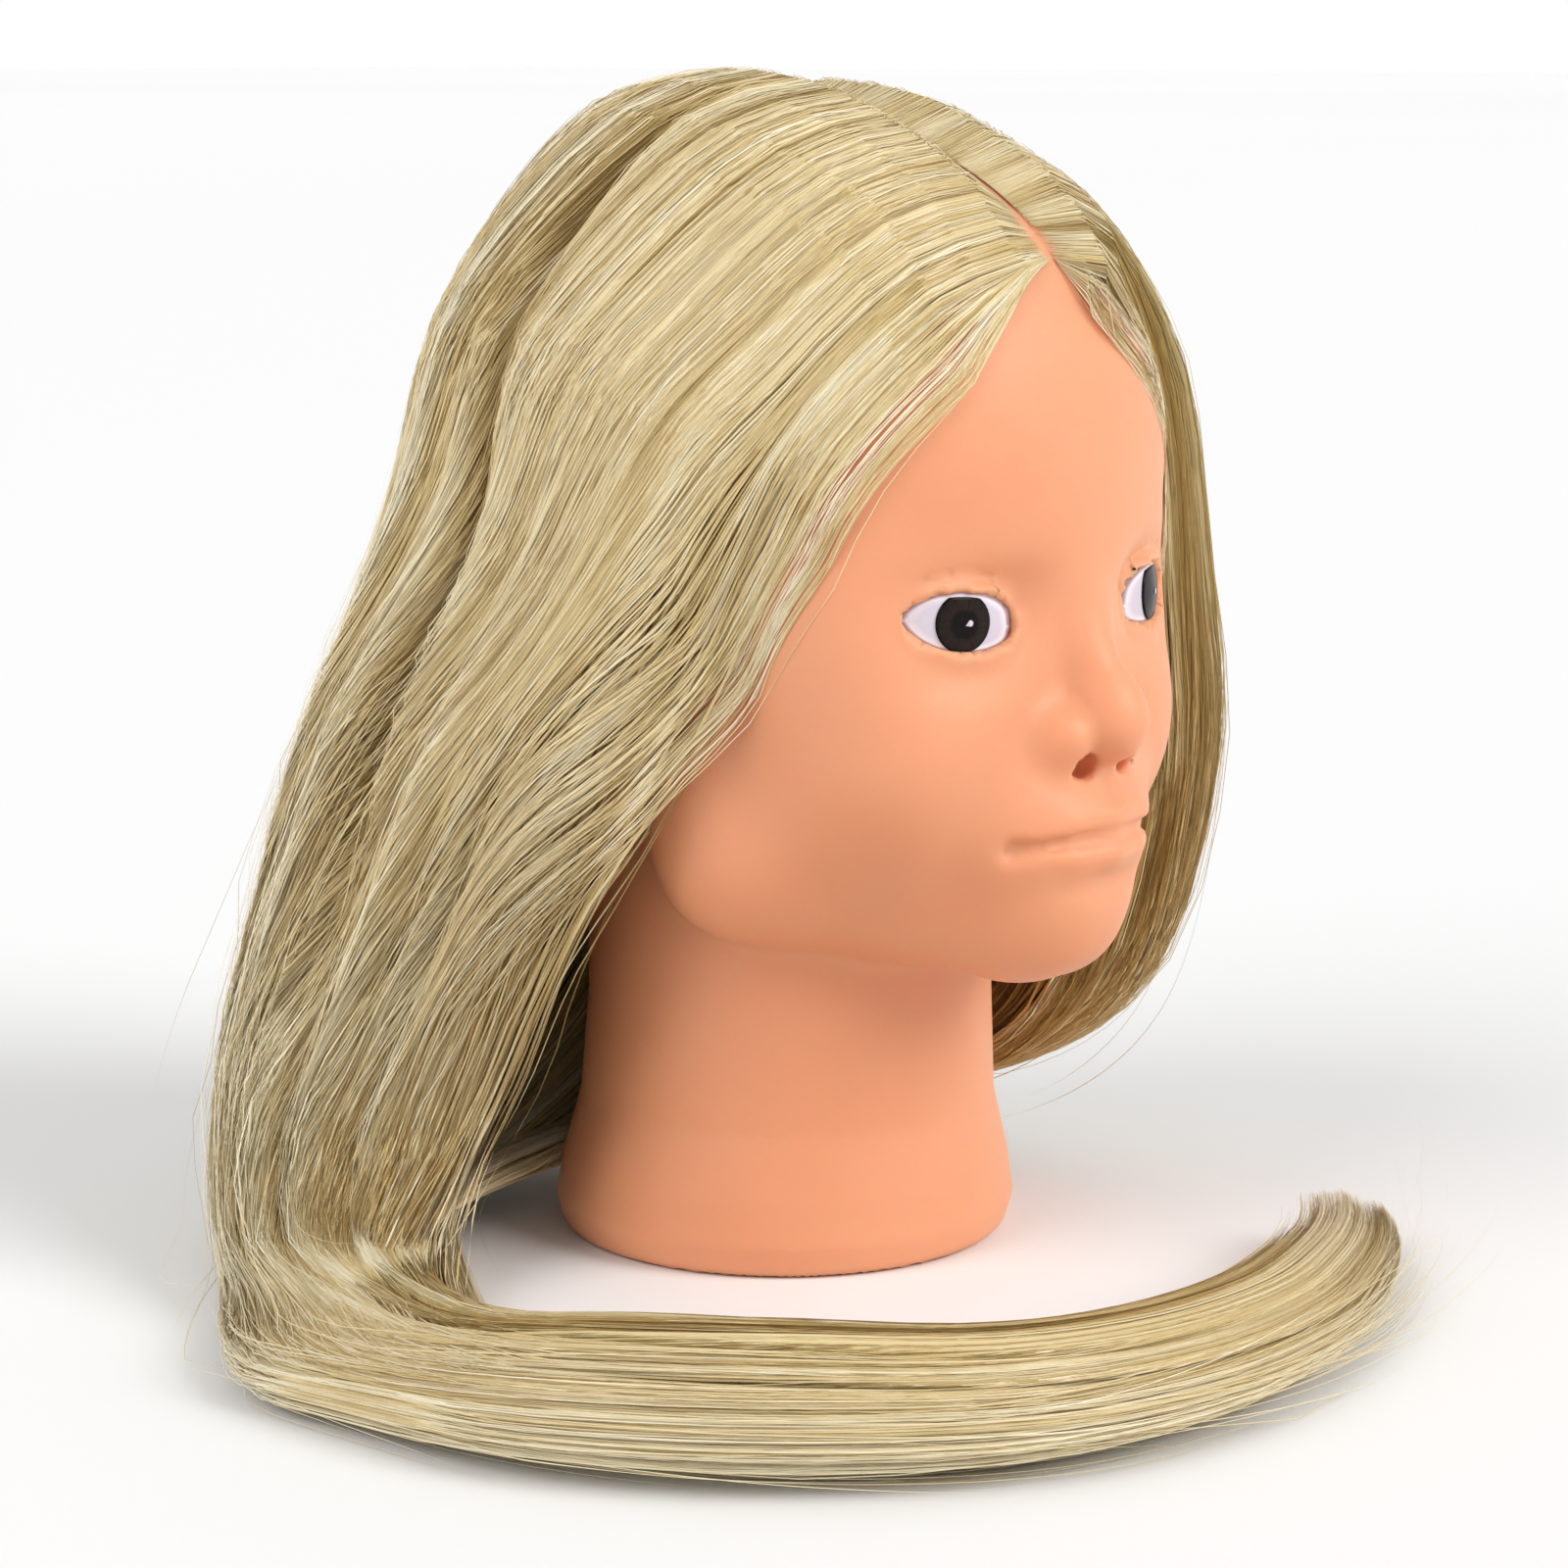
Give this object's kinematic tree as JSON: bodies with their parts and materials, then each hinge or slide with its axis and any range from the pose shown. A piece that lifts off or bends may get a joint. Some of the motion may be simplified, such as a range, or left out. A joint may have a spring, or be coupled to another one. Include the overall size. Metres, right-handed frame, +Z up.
{
  "type": "mannequin training head",
  "caption": "Hairdressing practice head on a flared neck: smooth vinyl face, inset eyes, and long straight blonde hair parted in the middle and swept round the neck on the table.",
  "frame": {"origin": "on the resting surface, under the middle of the part's bounding box", "axes": "+Z up along the neck, -Y the way the face looks, +X towards the head's own left ear"},
  "size_m": [0.2822, 0.2936, 0.2858],
  "materials": {
    "skin": "satin soft vinyl",
    "foam": "matte foam",
    "neck_plastic": "matte",
    "socket_plastic": "satin",
    "eye_white": "gloss",
    "iris": "high gloss",
    "hair": "satin synthetic fibre"
  },
  "bodies": {
    "root": {"head_shell": "skin", "foam_core": "foam", "neck_base_plate": "neck_plastic", "clamp_socket": "socket_plastic", "eye_white_right": "eye_white", "eye_white_left": "eye_white", "iris_right": "iris", "iris_left": "iris", "hair_crown": "hair", "hair_front_left": "hair", "hair_side_left": "hair", "hair_back_left": "hair", "hair_back_right": "hair", "hair_side_right": "hair", "hair_front_right": "hair", "hair_fall_left": "hair", "hair_fall_left_back": "hair", "hair_fall_back": "hair", "hair_fall_right_back": "hair", "hair_fall_right": "hair", "hair_sweep_1": "hair", "hair_sweep_2": "hair", "hair_sweep_3": "hair", "hair_sweep_4": "hair", "hair_tip": "hair"}
  },
  "joints": []
}
